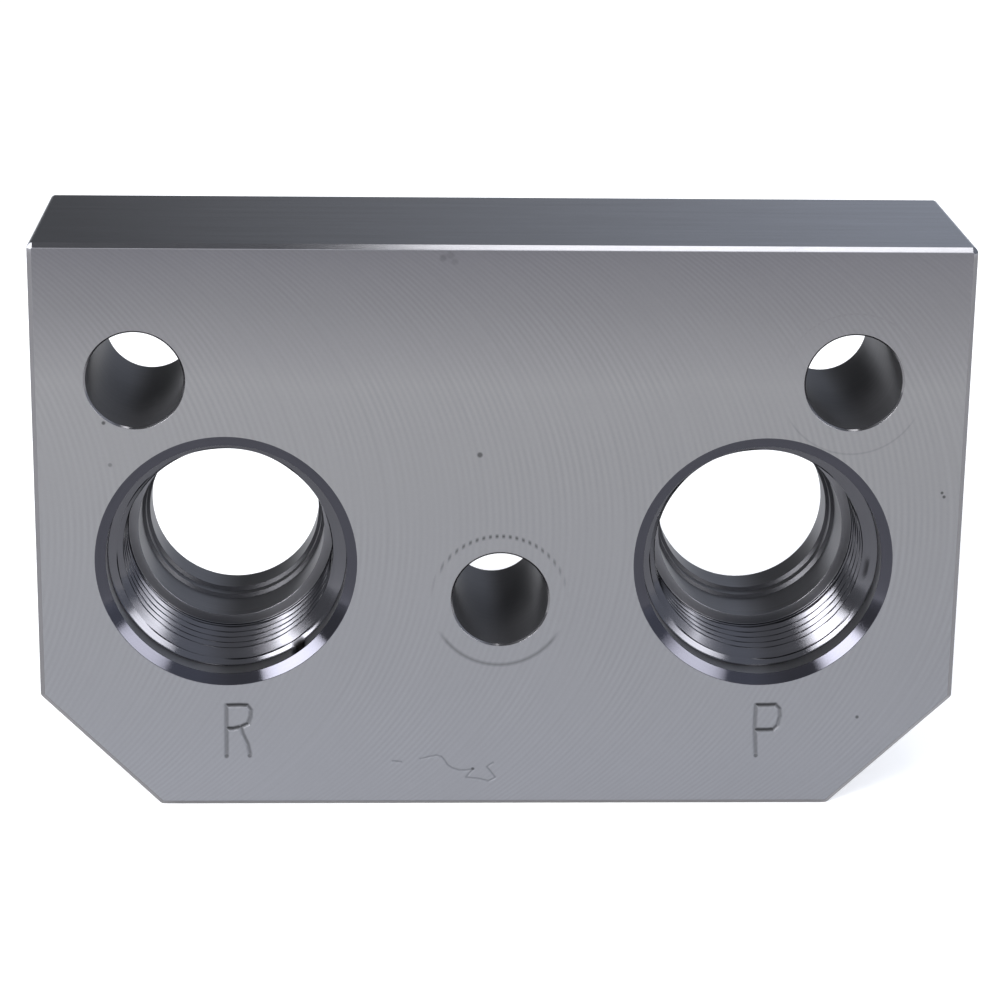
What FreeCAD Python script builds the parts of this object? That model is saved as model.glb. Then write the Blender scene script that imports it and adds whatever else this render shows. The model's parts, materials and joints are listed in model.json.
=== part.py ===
# Hydraulic port block: one flat machined block with two stepped, threaded ports
# side by side and three through holes for its mounting bolts.
# Frame: +Z up, the worked face with the port mouths towards -Y, +X to the right
# of someone who looks at that face. The origin lies on the foot of the block,
# midway along it and midway through its thickness. Lengths are in millimetres.
import FreeCAD, Part
import math
import os
import re
import Sketcher

NODE = "port_block"

# Each driving size once: name, value, what it is.
SIZES = [
    ("block_width", 106, "length of the block along X"),
    ("block_height", 67, "height of the block above its foot"),
    ("block_thickness", 27, "from the worked face to the seating face"),
    ("left_cut_width", 13.7, "cut lower left corner, along the foot"),
    ("left_cut_height", 13.6, "cut lower left corner, up the side"),
    ("right_cut_width", 14.1, "cut lower right corner, along the foot"),
    ("right_cut_height", 13.4, "cut lower right corner, up the side"),
    ("edge_break", 0.5, "bevel on every outer edge"),
    ("bolt_hole_diameter", 11, "clearance hole for an M10 cap screw"),
    ("bolt_hole_break", 0.2, "bevel at both mouths of a bolt hole"),
    ("bolt_top_margin", 15.6, "upper bolt holes, down from the top"),
    ("bolt_left_margin", 11.6, "upper left bolt hole, in from its side"),
    ("bolt_right_margin", 13.3, "upper right bolt hole, in from its side"),
    ("bolt_low_height", 25.5, "lower bolt hole, up from the foot"),
    ("port_left_margin", 21.6, "left port, in from its side"),
    ("port_right_margin", 22.8, "right port, in from its side"),
    ("port_height", 29.9, "both ports, up from the foot"),
    ("mouth_diameter", 29.8, "countersunk mouth of a port"),
    ("mouth_angle", 120, "full angle of that countersink, degrees"),
    ("thread_minor_diameter", 24.12, "G 3/4 thread, over its crests"),
    ("recess_diameter", 27.5, "plain recess behind the mouth, wider than the thread"),
    ("recess_depth", 3.4, "from the worked face to the recess's end"),
    ("lead_in_angle", 120, "full angle of the thread's lead-in, degrees"),
    ("shoulder_depth", 13.1, "from the worked face to the shoulder behind the thread"),
    ("bore_diameter", 21.9, "plain bore behind the thread"),
    ("bore_depth", 19.2, "from the worked face to the bore's end"),
    ("neck_diameter", 21.1, "ring between the bore and the passage"),
    ("neck_depth", 20.8, "from the worked face to the ring's end"),
    ("passage_diameter", 20.3, "passage that runs out at the seating face"),
    ("passage_bevel", 1.4, "bevel of the passage at the seating face"),
]


def fill_sheet(doc):
    """Put the driving sizes into a spreadsheet, one named cell each."""
    sheet = doc.addObject("Spreadsheet::Sheet", "Sizes")
    for row, (name, value, meaning) in enumerate(SIZES, start=1):
        sheet.set(f"A{row}", name)
        sheet.set(f"B{row}", str(value))
        sheet.set(f"C{row}", meaning)
        sheet.setAlias(f"B{row}", name)
    doc.recompute()
    return sheet


class Formulas:
    """Formulas in the names of the sheet: bound to an object, or worked out once."""

    def __init__(self, sheet):
        self.sheet = sheet
        self.names = [name for name, _, _ in SIZES]

    def bound(self, formula):
        """The formula with each size's name led by the sheet's."""
        return re.sub(r"[a-z_]+", self.with_sheet, formula)

    def with_sheet(self, match):
        """A size's name led by the sheet's; any other word as it is."""
        word = match.group()
        return f"Sizes.{word}" if word in self.names else word

    def number(self, formula):
        """The formula's value now."""
        value = self.sheet.evalExpression(self.bound(formula))
        return float(getattr(value, "Value", value))


def origin_plane(body, role):
    """One of the body's own origin planes."""
    return next(item for item in body.Origin.OriginFeatures if item.Role == role)


def new_sketch(body, name, role):
    """A sketch on one of the body's origin planes."""
    sketch = body.newObject("Sketcher::SketchObject", name)
    sketch.AttachmentSupport = [(origin_plane(body, role), "")]
    sketch.MapMode = "FlatFace"
    return sketch


def place_point(sketch, formulas, element, point, across, up):
    """Hold one point of an element at two distances from the sketch's origin.

    A distance of 0 puts the point on the sketch's axis, and none leaves it free.
    """
    for kind, formula, axis in (("DistanceX", across, -2), ("DistanceY", up, -1)):
        if formula is None:
            continue
        if formula == "0":
            sketch.addConstraint(Sketcher.Constraint("PointOnObject", element, point, axis))
            continue
        number = formulas.number(formula)
        row = sketch.addConstraint(Sketcher.Constraint(kind, -1, 1, element, point, number))
        sketch.setExpression(f"Constraints[{row}]", formulas.bound(formula))


def closed_outline(sketch, formulas, corners):
    """Join corners with straight lines, each corner a pair of formulas.

    Where two corners in a row share a formula their line is held level or
    upright, so every size stands in the sketch once.
    """
    spots = [
        FreeCAD.Vector(formulas.number(across), formulas.number(up), 0)
        for across, up in corners
    ]
    count = len(corners)
    for index in range(count):
        line = Part.LineSegment(spots[index], spots[(index + 1) % count])
        sketch.addGeometry(line, False)
    for index in range(count):
        follower = (index + 1) % count
        sketch.addConstraint(Sketcher.Constraint("Coincident", index, 2, follower, 1))
    place_point(sketch, formulas, 0, 1, *corners[0])
    for index in range(1, count):
        across, up = corners[index]
        last_across, last_up = corners[index - 1]
        if across == last_across:
            sketch.addConstraint(Sketcher.Constraint("Vertical", index - 1))
            across = None
        if up == last_up:
            sketch.addConstraint(Sketcher.Constraint("Horizontal", index - 1))
            up = None
        place_point(sketch, formulas, index, 1, across, up)


def add_block(body, formulas):
    """The block itself: its front outline with two cut corners, made thick."""
    sketch = new_sketch(body, "FrontOutline", "XZ_Plane")
    left = "-1 * block_width / 2"
    right = "block_width / 2"
    closed_outline(sketch, formulas, [
        (f"{left} + left_cut_width", "0"),
        (left, "left_cut_height"),
        (left, "block_height"),
        (right, "block_height"),
        (right, "right_cut_height"),
        (f"{right} - right_cut_width", "0"),
    ])
    pad = body.newObject("PartDesign::Pad", "Block")
    pad.Profile = sketch
    pad.SideType = "Symmetric"
    pad.setExpression("Length", formulas.bound("block_thickness"))
    body.Document.recompute()
    return pad


def add_edge_break(body, formulas, base):
    """A small bevel on every outer edge of the block."""
    bevel = body.newObject("PartDesign::Chamfer", "EdgeBreak")
    bevel.Base = (base, [""])
    bevel.UseAllEdges = True
    bevel.setExpression("Size", formulas.bound("edge_break"))
    body.Document.recompute()
    return bevel


def add_bolt_holes(body, formulas):
    """Three through holes for the mounting bolts, two above and one below."""
    sketch = new_sketch(body, "BoltHoleCentres", "XZ_Plane")
    upper = "block_height - bolt_top_margin"
    centres = [
        ("-1 * block_width / 2 + bolt_left_margin", upper),
        ("block_width / 2 - bolt_right_margin", upper),
        ("0", "bolt_low_height"),
    ]
    radius = formulas.number("bolt_hole_diameter / 2")
    up = FreeCAD.Vector(0, 0, 1)
    for index, (across, height) in enumerate(centres):
        centre = FreeCAD.Vector(formulas.number(across), formulas.number(height), 0)
        sketch.addGeometry(Part.Circle(centre, up, radius), False)
        place_point(sketch, formulas, index, 3, across, height)
        if index:
            sketch.addConstraint(Sketcher.Constraint("Equal", 0, index))
    row = sketch.addConstraint(Sketcher.Constraint("Diameter", 0, 2 * radius))
    sketch.setExpression(f"Constraints[{row}]", formulas.bound("bolt_hole_diameter"))

    holes = body.newObject("PartDesign::Pocket", "BoltHoles")
    holes.Profile = sketch
    holes.Type = "ThroughAll"
    holes.SideType = "Symmetric"
    body.Document.recompute()
    return holes


def round_edges(shape, radius):
    """Names of the shape's round edges of one radius."""
    names = []
    for index, edge in enumerate(shape.Edges, start=1):
        curve = edge.Curve
        if isinstance(curve, Part.Circle) and math.isclose(curve.Radius, radius, abs_tol=1e-6):
            names.append(f"Edge{index}")
    return names


def add_bolt_hole_bevels(body, formulas, base):
    """A small bevel at both mouths of each bolt hole."""
    bevel = body.newObject("PartDesign::Chamfer", "BoltHoleBreak")
    bevel.Base = (base, round_edges(base.Shape, formulas.number("bolt_hole_diameter / 2")))
    bevel.setExpression("Size", formulas.bound("bolt_hole_break"))
    body.Document.recompute()
    return bevel


def port_section():
    """Half of a port's section: corners as distance from its axis and depth.

    From the worked face inwards: a wide countersink, a plain recess that clears
    the thread, a wide lead-in, the thread's crests, a flat shoulder, the plain
    bore, a narrow ring and the passage.
    """
    mouth = "mouth_diameter / 2"
    recess = "recess_diameter / 2"
    crest = "thread_minor_diameter / 2"
    bore = "bore_diameter / 2"
    neck = "neck_diameter / 2"
    passage = "passage_diameter / 2"
    mouth_depth = f"( {mouth} - {recess} ) / tan( mouth_angle / 2 )"
    lead_in_depth = f"( {recess} - {crest} ) / tan( lead_in_angle / 2 )"
    return [
        ("0", "0"),
        (mouth, "0"),
        (recess, mouth_depth),
        (recess, "recess_depth"),
        (crest, f"recess_depth + {lead_in_depth}"),
        (crest, "shoulder_depth"),
        (bore, "shoulder_depth"),
        (bore, "bore_depth"),
        (neck, f"bore_depth + {bore} - {neck}"),
        (neck, "neck_depth"),
        (passage, f"neck_depth + {neck} - {passage}"),
        (passage, "block_thickness - passage_bevel"),
        (f"{passage} + passage_bevel", "block_thickness"),
        ("0", "block_thickness"),
    ]


def add_ports(body, formulas):
    """Turn the port's section out of the block, twice."""
    sketch = new_sketch(body, "PortSection", "XY_Plane")
    centre = {
        "x": "-1 * block_width / 2 + port_left_margin",
        "y": "-1 * block_thickness / 2",
        "z": "port_height",
    }
    spot = [formulas.number(formula) for formula in centre.values()]
    sketch.AttachmentOffset = FreeCAD.Placement(FreeCAD.Vector(*spot), FreeCAD.Rotation())
    for axis, formula in centre.items():
        sketch.setExpression(f".AttachmentOffset.Base.{axis}", formulas.bound(formula))
    closed_outline(sketch, formulas, port_section())

    port = body.newObject("PartDesign::Groove", "LeftPort")
    port.Profile = sketch
    port.ReferenceAxis = (sketch, ["V_Axis"])
    port.Angle = 360
    body.Document.recompute()

    both = body.newObject("PartDesign::LinearPattern", "BothPorts")
    both.Originals = [port]
    both.Direction = (sketch, ["H_Axis"])
    both.Occurrences = 2
    spacing = "block_width - port_left_margin - port_right_margin"
    both.setExpression("Length", formulas.bound(spacing))
    body.Tip = both
    body.Document.recompute()
    return port, both


def check_cut(before, after, name):
    """Stop unless a cut has taken material away."""
    if not after.Shape.Volume < before.Shape.Volume:
        raise RuntimeError(f"{name} cuts nothing")


def check_document(doc, body):
    """Stop unless every object is sound and the body is one valid solid."""
    failed = [item.Name for item in doc.Objects if {"Invalid", "Error"} & set(item.State)]
    if failed:
        raise RuntimeError(f"failed objects: {failed}")
    sketches = [item for item in doc.Objects if item.TypeId == "Sketcher::SketchObject"]
    loose = [item.Name for item in sketches if not item.FullyConstrained]
    if loose:
        raise RuntimeError(f"sketches with free points: {loose}")
    shape = body.Shape
    if shape.isNull() or not shape.isValid() or len(shape.Solids) != 1:
        raise RuntimeError(f"{body.Label} isn't one valid solid")


def main():
    """Build the block and write its STEP file."""
    doc = FreeCAD.newDocument("HydraulicPortBlock")
    formulas = Formulas(fill_sheet(doc))
    body = doc.addObject("PartDesign::Body", "PortBlock")
    body.Label = NODE
    body.Placement = FreeCAD.Placement()

    block = add_block(body, formulas)
    broken = add_edge_break(body, formulas, block)
    holes = add_bolt_holes(body, formulas)
    check_cut(broken, holes, "BoltHoles")
    bevelled = add_bolt_hole_bevels(body, formulas, holes)
    left_port, both_ports = add_ports(body, formulas)
    check_cut(bevelled, left_port, "LeftPort")
    check_cut(left_port, both_ports, "BothPorts")

    doc.recompute()
    check_document(doc, body)
    os.makedirs("parts", exist_ok=True)
    body.Shape.exportStep(f"parts/{NODE}.step")
    box = body.Shape.BoundBox
    print(f"{NODE}: {box.XLength:.3f} x {box.YLength:.3f} x {box.ZLength:.3f} mm,")
    print(f"volume {body.Shape.Volume:.1f} mm3, {len(body.Shape.Faces)} faces")


main()
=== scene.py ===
# Looks of a hydraulic port block: a flat steel block with two threaded ports side
# by side and three holes for its mounting bolts, on a plain pale floor.
# The block's skin is worked out from its sections in millimetres, with real helical
# threads and engraved letters, and goes into the mesh in metres.
import json
import math

import bpy
import numpy as np
from mathutils import Matrix, Vector
from mathutils.geometry import delaunay_2d_cdt


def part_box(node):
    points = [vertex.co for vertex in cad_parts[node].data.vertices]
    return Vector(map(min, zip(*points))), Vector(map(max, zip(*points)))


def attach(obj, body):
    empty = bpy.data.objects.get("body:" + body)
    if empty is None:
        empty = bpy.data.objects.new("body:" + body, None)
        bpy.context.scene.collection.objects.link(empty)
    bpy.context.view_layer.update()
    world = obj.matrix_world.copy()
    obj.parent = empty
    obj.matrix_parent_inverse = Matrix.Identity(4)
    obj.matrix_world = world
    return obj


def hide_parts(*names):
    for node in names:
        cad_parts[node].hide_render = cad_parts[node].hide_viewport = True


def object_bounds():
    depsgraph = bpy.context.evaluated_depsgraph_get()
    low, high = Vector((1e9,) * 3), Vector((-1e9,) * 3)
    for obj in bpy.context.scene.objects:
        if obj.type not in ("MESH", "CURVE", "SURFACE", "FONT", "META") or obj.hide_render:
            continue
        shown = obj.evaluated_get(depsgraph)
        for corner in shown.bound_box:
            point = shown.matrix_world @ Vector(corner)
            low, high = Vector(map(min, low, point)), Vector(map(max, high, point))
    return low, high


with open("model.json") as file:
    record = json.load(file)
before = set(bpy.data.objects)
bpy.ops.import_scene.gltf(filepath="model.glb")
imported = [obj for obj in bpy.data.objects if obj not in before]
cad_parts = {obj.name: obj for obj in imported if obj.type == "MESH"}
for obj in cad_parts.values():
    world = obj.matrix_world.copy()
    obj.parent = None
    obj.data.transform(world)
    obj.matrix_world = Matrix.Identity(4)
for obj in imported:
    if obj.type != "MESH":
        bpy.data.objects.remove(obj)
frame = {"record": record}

bl_info = {
    "name": "Hydraulic Port Block",
    "version": (1, 0, 0),
    "blender": (4, 5, 0),
    "location": "View3D > Sidebar > Port Block",
    "description": "Builds a hydraulic port block with its machined finishes and a plain studio",
    "category": "Object",
}

NODE = "port_block"
MM = 0.001
CAD_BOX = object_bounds()
MOUNTS = {mount["name"]: mount for mount in frame["record"]["mounts"]}


def colour(hex_code):
    """The linear colour of an sRGB hex value."""
    parts = np.array([int(hex_code[i:i + 2], 16) for i in (1, 3, 5)]) / 255
    low = parts / 12.92
    high = ((parts + 0.055) / 1.055) ** 2.4
    return tuple(np.where(parts <= 0.04045, low, high).tolist())


def length(name, millimetres, description):
    """A length that a user can change, given in millimetres."""
    return bpy.props.FloatProperty(
        name=name, description=description, default=millimetres * MM, min=0.0,
        unit="LENGTH", subtype="DISTANCE", precision=5)


def tone(name, hex_code, description):
    """A colour that a user can change, given as an sRGB hex value."""
    return bpy.props.FloatVectorProperty(
        name=name, description=description, default=colour(hex_code), size=3,
        min=0.0, max=1.0, subtype="COLOR")


def amount(name, value, description, highest=1.0):
    """A plain number that a user can change."""
    return bpy.props.FloatProperty(
        name=name, description=description, default=value, min=0.0, max=highest)


class PORTBLOCK_PG_sizes(bpy.types.PropertyGroup):
    """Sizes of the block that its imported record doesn't hold."""

    left_cut_width: length("Left cut, along", 13.7, "Cut lower left corner, along the foot")
    left_cut_height: length("Left cut, up", 13.6, "Cut lower left corner, up the side")
    right_cut_width: length("Right cut, along", 14.1, "Cut lower right corner, along the foot")
    right_cut_height: length("Right cut, up", 13.4, "Cut lower right corner, up the side")
    edge_break: length("Edge break", 0.5, "Bevel on every outer edge")
    hole_break: length("Bolt hole break", 0.2, "Bevel at the mouths of a bolt hole")
    nipped_corner: length("Nipped corner", 1.16, "Upper front corners, three offsets added up")
    edge_softness: length("Edge softness", 0.05, "Radius that is left where two cuts meet")
    mouth_radius: length("Mouth radius", 14.9, "Countersunk mouth of a port")
    recess_radius: length("Recess radius", 13.75, "Plain recess in front of the thread")
    recess_depth: length("Recess depth", 3.4, "From the worked face to the recess's end")
    thread_root: length("Thread root radius", 13.22, "Bottom of the thread's groove")
    thread_pitch: length("Thread pitch", 1.814, "One turn of the thread, 14 to the inch")
    tapped_depth: length("Tapped depth", 12.95, "From the worked face to the last thread")
    shoulder_depth: length("Shoulder depth", 13.1, "From the worked face to the flat shoulder")
    bore_radius: length("Bore radius", 10.95, "Plain bore behind the thread")
    bore_depth: length("Bore depth", 19.2, "From the worked face to the bore's end")
    neck_radius: length("Ring radius", 10.55, "Ring between bore and passage")
    neck_depth: length("Ring depth", 20.8, "From the worked face to the ring's end")
    passage_bevel: length("Passage bevel", 1.4, "Bevel of the passage at the seating face")
    letter_stroke: length("Letter stroke", 0.7, "Width of an engraved stroke")
    letter_depth: length("Letter depth", 0.14, "Depth of an engraved stroke")
    scratch_width: length("Scratch width", 0.3, "Width of the fine scratch near the foot")


class PORTBLOCK_PG_finish(bpy.types.PropertyGroup):
    """Colours and textures of the bare steel."""

    milled: tone("Milled steel", "#757578", "Worked face and seating face")
    ground: tone("Ground steel", "#73757d", "Top, sides and foot")
    # Painted shade: darker than the other steel, so the threads look dark
    turned: tone("Turned steel", "#4a4a4e", "Threads and their lead-in")
    # Painted light: lighter than the bored steel of the same finish
    recessed: tone("Recessed steel", "#828286", "Plain recesses in front of the threads")
    bored: tone("Bored steel", "#6c6c70", "Bores and passages behind the threads")
    drilled: tone("Drilled steel", "#626265", "Walls of the bolt holes")
    # Painted shade: much darker than the other steel, so the ports' mouths look dark
    countersunk: tone("Countersunk steel", "#3a3a40", "Bevelled mouths of the ports")
    edge: tone("Broken edges", "#87878b", "Narrow bevels round the block and its bolt holes")
    # Also the colour of the painted shade in the letters' grooves
    grime_and_shade: tone("Grime", "#0f0e0e", "Nicks and specks")
    milled_roughness: amount("Milled roughness", 0.42, "How dull milled faces and bolt holes are")
    ground_roughness: amount("Ground roughness", 0.22, "How dull the ground sides are")
    turned_roughness: amount("Turned roughness", 0.17, "How dull the threads are")
    bored_roughness: amount("Bored roughness", 0.3, "How dull the round walls of the ports are")
    bevel_roughness: amount("Bevel roughness", 0.13, "How dull the bevels are")
    cutter_radius: length("Cutter radius", 39.4, "Face mill that ran along the block")
    cutter_feed: length("Cutter feed", 0.756, "Distance from one milling arc to the next")


class PORTBLOCK_PG_studio(bpy.types.PropertyGroup):
    """The plain studio round the block."""

    floor: tone("Floor", "#f4f4f4", "Colour of the floor")
    floor_glow: amount("Floor glow", 0.34, "Light of its own that brings the floor up to white")
    room: amount("Room", 0.14, "Brightness that the room has all round")
    front_wall: amount("Front wall", 0.5, "Brightness that the wall in front adds")
    right_wall: amount("Right wall", 0.45, "Brightness that the wall on the right adds")
    horizon: amount("Horizon", 0.45, "Brightness that the foot of the walls adds")
    ceiling: amount("Ceiling", 0.15, "Brightness that the ceiling adds")
    left_box: amount("Left softbox", 22.0, "Brightness of the softbox at the front left", 50.0)
    right_box: amount("Right softbox", 11.5, "Brightness of the softbox at the front right", 50.0)
    top_box: amount("Overhead softbox", 4.0, "Brightness of the overhead softbox", 50.0)
    side_box: amount("Side softbox", 5.0, "Brightness of the small softbox at the left", 50.0)


# Points are sewn where they share a step, of which there are so many to the millimetre. The
# offset keeps round values away from the limits between two steps
SEWING_STEPS = 1e4
SEWING_OFFSET = 0.0123456789


class Skin:
    """Stretches of surface, in millimetres, that are sewn into one closed mesh."""

    def __init__(self):
        self.points, self.normals, self.marks = [], [], []
        self.faces, self.slots = {3: [], 4: []}, {3: [], 4: []}
        self.count = 0

    def add(self, points, normals, faces, slot, marks=0.0):
        """Add points with their normals, and faces that point the way the normals do."""
        corners = points[faces]
        across = np.cross(corners[:, 2] - corners[:, 0], corners[:, -1] - corners[:, 1])
        wrong = (across * normals[faces].sum(1)).sum(1) < 0
        faces = np.where(wrong[:, None], faces[:, ::-1], faces)
        self.points.append(points)
        self.normals.append(normals)
        self.marks.append(np.zeros(len(points)) + np.ravel(marks))
        self.faces[faces.shape[1]].append(faces + self.count)
        self.slots[faces.shape[1]].append(np.full(len(faces), slot))
        self.count += len(points)

    def add_grid(self, points, normals, slot, closed=False, marks=0.0):
        """Add a grid of points; closed joins its last column to its first."""
        rows, columns = points.shape[:2]
        index = np.arange(rows * columns).reshape(rows, columns)
        if closed:
            index = np.hstack([index, index[:, :1]])
        faces = np.stack([index[:-1, :-1], index[1:, :-1], index[1:, 1:], index[:-1, 1:]], -1)
        self.add(points.reshape(-1, 3), normals.reshape(-1, 3), faces.reshape(-1, 4), slot, marks)

    def add_rings(self, points, normals, slots, changes=(), marks=0.0):
        """Add closed rings, whose material changes at the rows given."""
        marks = np.zeros(points.shape[:2]) + marks
        for first, last, slot in zip((0, *changes), (*changes, len(points) - 1), slots):
            rows = slice(first, last + 1)
            self.add_grid(points[rows], normals[rows], slot, closed=True, marks=marks[rows])

    def mesh(self, name):
        """Sew points that coincide, and write the mesh with the exact normals kept."""
        points = np.vstack(self.points)
        keys = np.round((points + SEWING_OFFSET) * SEWING_STEPS).astype(np.int64)
        _, first, sewn = np.unique(keys, axis=0, return_index=True, return_inverse=True)
        sewn = sewn.ravel()
        normals = np.vstack(self.normals)
        normals /= np.linalg.norm(normals, axis=1, keepdims=True)
        marks = np.zeros(len(first))
        np.maximum.at(marks, sewn, np.concatenate(self.marks))
        threes = np.vstack(self.faces[3])
        fours = np.vstack(self.faces[4])
        loops = np.concatenate([threes.ravel(), fours.ravel()])
        sizes = np.concatenate([np.full(len(threes), 3), np.full(len(fours), 4)])
        slots = np.concatenate(self.slots[3] + self.slots[4])

        mesh = bpy.data.meshes.new(name)
        mesh.vertices.add(len(first))
        mesh.vertices.foreach_set("co", (points[first] * MM).ravel())
        mesh.loops.add(len(loops))
        mesh.loops.foreach_set("vertex_index", sewn[loops].astype(np.int32))
        mesh.polygons.add(len(sizes))
        starts = np.concatenate([[0], np.cumsum(sizes)[:-1]])
        mesh.polygons.foreach_set("loop_start", starts.astype(np.int32))
        mesh.polygons.foreach_set("material_index", slots.astype(np.int32))
        mesh.update(calc_edges=True)
        if mesh.validate():
            raise RuntimeError(f"{name}: the sewn mesh has faults")
        # How dark each point is painted, kept as the attribute cut: nicks, the scratch and the painted
        # shade in the letters' grooves
        mesh.attributes.new("cut", "FLOAT", "POINT").data.foreach_set("value", marks)
        mesh.normals_split_custom_set(normals[loops].tolist())
        return mesh


# Pieces that the small arc at a section's corner is made of
ARC_STEPS = 3


def eased(corners, softness):
    """A section's points and normals, with a small arc of one radius at every corner.

    A straight run keeps its own normal at both ends. The arc that joins two runs starts
    radius * tan(half the turn) before the corner, and its normal turns evenly from the
    first run's to the second's. Normals point to the left of the way the section runs.
    """
    corners = np.asarray(corners, float)
    ways = np.diff(corners, axis=0)
    ways /= np.linalg.norm(ways, axis=1, keepdims=True)
    sides = np.stack([-ways[:, 1], ways[:, 0]], 1)
    points, normals = [corners[:1]], [sides[:1]]
    for corner, way, side, next_side in zip(corners[1:-1], ways, sides, sides[1:]):
        turn = math.acos(float(np.clip(side @ next_side, -1, 1)))
        left = float(way @ next_side) < 0
        start = corner - way * softness * math.tan(turn / 2)
        share = np.linspace(0, 1, ARC_STEPS + 1)[:, None]
        swept = np.sin((1 - share) * turn) * side + np.sin(share * turn) * next_side
        swept /= math.sin(turn)
        bend = softness if left else -softness
        points.append(start + bend * (side - swept))
        normals.append(swept)
    points.append(corners[-1:])
    normals.append(sides[-1:])
    return np.vstack(points), np.vstack(normals)


def circle(count):
    """Angles round a circle, with their cosines and sines."""
    angle = np.arange(count) * 2 * math.pi / count
    return angle, np.cos(angle), np.sin(angle)


def turned(points, normals, centre, count):
    """A section turned round an axis along Y: radius and depth, at every angle."""
    _, cos, sin = circle(count)
    radius, depth = points[:, :1], points[:, 1:]
    grid = np.stack([centre[0] + radius * cos, depth + 0 * cos, centre[1] + radius * sin], -1)
    facing = np.stack([normals[:, :1] * cos, normals[:, 1:] + 0 * cos, normals[:, :1] * sin], -1)
    return grid, facing


def place(name):
    """A mount's place across the worked face and its radius, in millimetres."""
    mount = MOUNTS[name]
    x, _, z = (value / MM for value in mount["pos_m"])
    return (x, z), mount["dims"]["r_mm"]


def millimetres(group):
    """Every length of a property group, in millimetres."""
    names = group.bl_rna.properties
    return {p.identifier: getattr(group, p.identifier) / MM for p in names if p.type == "FLOAT"}


# Which material a stretch of surface takes
MILLED, GROUND, TURNED, RECESSED, BORED, DRILLED, COUNTERSUNK, EDGE, SEAT = range(9)

# How fast the radius falls with depth on the mouth's bevel and the thread's lead-in,
# which both have a full angle of 120 degrees
LEAD = math.tan(math.radians(60))
BOLT_HOLES = ("upper_left_bolt", "upper_right_bolt", "lower_bolt")
PORTS = (("left_port", "left_passage"), ("right_port", "right_passage"))

# Points round a port, round a bolt hole and round each corner of the block
PORT_COLUMNS, HOLE_COLUMNS, CORNER_COLUMNS = 240, 96, 13
# Rows that give a nipped corner its shape, as shares of the bevel and of the sides behind it
BEVEL_ROWS = (0.2, 0.4, 0.6, 0.8)
SIDE_ROWS = (0.006, 0.013, 0.02)
# Radius that a corner of the block still has at its innermost row
CORNER_SPARE = 0.12
# Rows along the recess, enough to shape the damage in it, and the depth of a row of thread
RECESS_ROWS = 14
THREAD_STEP = 0.1
# Parts of a pitch: half a crest or root that is flat, and the length in which the groove ends
THREAD_LAND = 1 / 40
THREAD_FADE = 0.15
# Small damage in the ports: port, angle in degrees, depth, half length along the wall,
# half length into the port and how deep it goes
NICKS = (
    ("left_port", 306.5, 2.1, 0.66, 1.3, 0.32),
    ("right_port", 351.5, 4.0, 1.1, 0.13, 0.06),
)
# Depth at which a nick is painted fully black, and how far inside the mouth it fades out
BLACK_DEPTH = 0.1
NICK_FADE = 0.2


def with_rows(section, facing, after, shares):
    """Add rows on the straight run that follows one point of a section."""
    step = section[after + 1] - section[after]
    rows = section[after] + np.asarray(shares)[:, None] * step
    return (np.insert(section, after + 1, rows, axis=0),
            np.insert(facing, after + 1, np.tile(facing[after], (len(shares), 1)), axis=0))


def nip(points, normals, corner, way, reach):
    """Cut a corner off flat: what lies beyond a plane drops onto it.

    The plane is square to the way out of the corner. It cuts each of the three edges
    that met there, were they sharp, at the reach from the corner.
    """
    way = np.asarray(way) / math.sqrt(3)
    over = (points - corner) @ way + reach / math.sqrt(3)
    beyond = over > 0
    points[beyond] -= over[beyond][:, None] * way
    normals[beyond] = way


def outline_rings(size, lowest, highest):
    """The six-cornered outline at every step of the edge section.

    Each corner is an arc about a centre that lies one corner radius inside both sides.
    A step that lies further in has the same centres and a smaller radius, so all steps
    are parallel and joined by straight sides. The first and last step of the sides, which
    lie between the two bevels, are given too.
    """
    left, right, foot, top = lowest[0], highest[0], lowest[2], highest[2]
    front, back = lowest[1], highest[1]
    corners = np.array([
        (right - size["right_cut_width"], foot), (right, foot + size["right_cut_height"]),
        (right, top), (left, top), (left, foot + size["left_cut_height"]),
        (left + size["left_cut_width"], foot)])
    ways = np.roll(corners, -1, axis=0) - corners
    ways /= np.linalg.norm(ways, axis=1, keepdims=True)
    outward = np.stack([ways[:, 1], -ways[:, 0]], 1)
    before = np.roll(outward, 1, axis=0)
    softness, edge = size["edge_softness"], size["edge_break"]
    rim = edge + softness
    rounding = rim + CORNER_SPARE
    middle = (before + outward) / (1 + (before * outward).sum(1, keepdims=True))
    centres = corners - rounding * middle
    turn = np.arccos((before * outward).sum(1))[:, None, None]
    share = np.linspace(0, 1, CORNER_COLUMNS)[None, :, None]
    fan = np.sin((1 - share) * turn) * before[:, None] + np.sin(share * turn) * outward[:, None]
    fan = (fan / np.sin(turn)).reshape(-1, 2)
    centres = np.repeat(centres, CORNER_COLUMNS, axis=0)

    section, facing = eased([
        (rim, front), (edge, front), (0, front + edge),
        (0, back - edge), (edge, back), (rim, back)], softness)
    arc = ARC_STEPS + 1
    section, facing = with_rows(section, facing, 2 * arc, SIDE_ROWS)
    section, facing = with_rows(section, facing, arc, BEVEL_ROWS)
    reach = rounding - section[:, :1]
    depth = section[:, 1:] + 0 * fan[:, 0]
    points = np.stack(
        [centres[:, 0] + reach * fan[:, 0], depth, centres[:, 1] + reach * fan[:, 1]], -1)
    sideways = -facing[:, :1]
    normals = np.stack(
        [sideways * fan[:, 0], facing[:, 1:] + 0 * fan[:, 0], sideways * fan[:, 1]], -1)
    for side, across in ((left, -1), (right, 1)):
        nip(points, normals, (side, front, top), (across, -1, 1), size["nipped_corner"])
    return points, normals, (2 * arc + len(BEVEL_ROWS), len(section) - 2 * arc - 1)


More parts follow.
